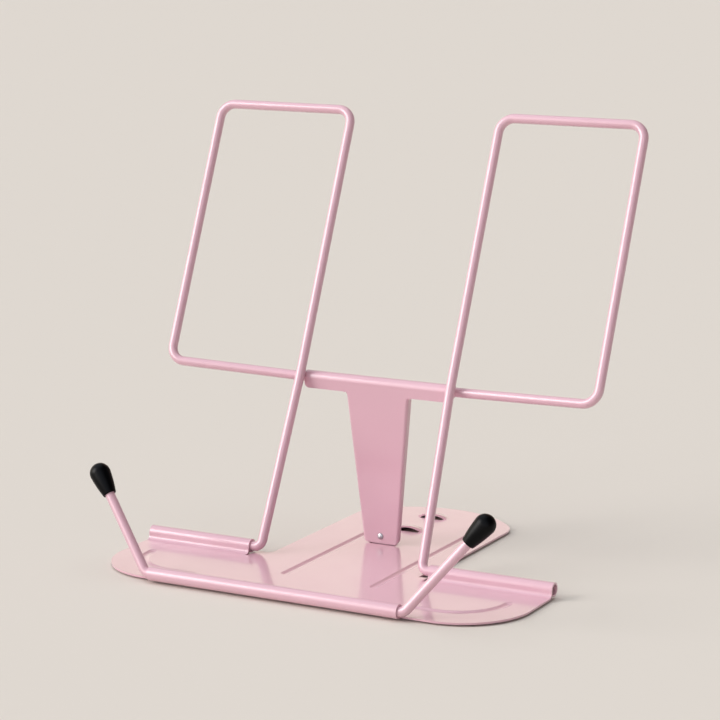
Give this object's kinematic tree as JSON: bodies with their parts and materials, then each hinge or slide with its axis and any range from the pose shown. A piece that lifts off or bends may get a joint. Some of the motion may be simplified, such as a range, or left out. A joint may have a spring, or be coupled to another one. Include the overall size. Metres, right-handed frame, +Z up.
{
  "type": "folding bookstand rack",
  "caption": "Folding tabletop bookstand: pressed steel base, hinged bent-wire page frames held by a propped T bracket, and wire page holders with rubber tips.",
  "frame": {"origin": "on the table, under the middle of the base's outline", "axes": "+X to the reader's right, +Y away from the reader, +Z up"},
  "size_m": [0.255, 0.2, 0.2278],
  "materials": {
    "pink_paint": "gloss",
    "black_rubber": "satin",
    "bright_steel": "satin"
  },
  "bodies": {
    "base": {"base_plate": "pink_paint", "pad_front_left": "black_rubber", "pad_front_right": "black_rubber", "pad_rear_left": "black_rubber", "pad_rear_right": "black_rubber"},
    "left_page_frame": {"left_frame": "pink_paint"},
    "right_page_frame": {"right_frame": "pink_paint"},
    "prop": {"prop_bracket": "pink_paint", "prop_toe": "pink_paint", "prop_rivet": "bright_steel"},
    "left_page_holder": {"left_arm": "pink_paint", "left_tip": "black_rubber"},
    "right_page_holder": {"right_arm": "pink_paint", "right_tip": "black_rubber"}
  },
  "joints": [
    {"name": "left_frame_fold", "type": "hinge", "parent": "base", "child": "left_page_frame", "pos_m": [0, -0.02895, 0.0052], "axis": [1, 0, 0], "range_deg": [0, 108]},
    {"name": "right_frame_fold", "type": "hinge", "parent": "base", "child": "right_page_frame", "pos_m": [0, -0.02895, 0.0052], "axis": [1, 0, 0], "range_deg": [0, 108]},
    {"name": "prop_swing", "type": "hinge", "parent": "left_page_frame", "child": "prop", "pos_m": [0, 0.01449, 0.08881], "axis": [1, 0, 0], "range_deg": [-27.2, 0]},
    {"name": "left_arm_turn", "type": "hinge", "parent": "base", "child": "left_page_holder", "pos_m": [0, -0.09645, 0.0046], "axis": [1, 0, 0], "range_deg": [-66, 105]},
    {"name": "right_arm_turn", "type": "hinge", "parent": "base", "child": "right_page_holder", "pos_m": [0, -0.09645, 0.0046], "axis": [1, 0, 0], "range_deg": [-66, 105]}
  ],
  "couplings": [
    {"joint": "right_frame_fold", "follows": "left_frame_fold", "ratio": 1},
    {"joint": "prop_swing", "follows": "left_frame_fold", "ratio": -0.25}
  ]
}
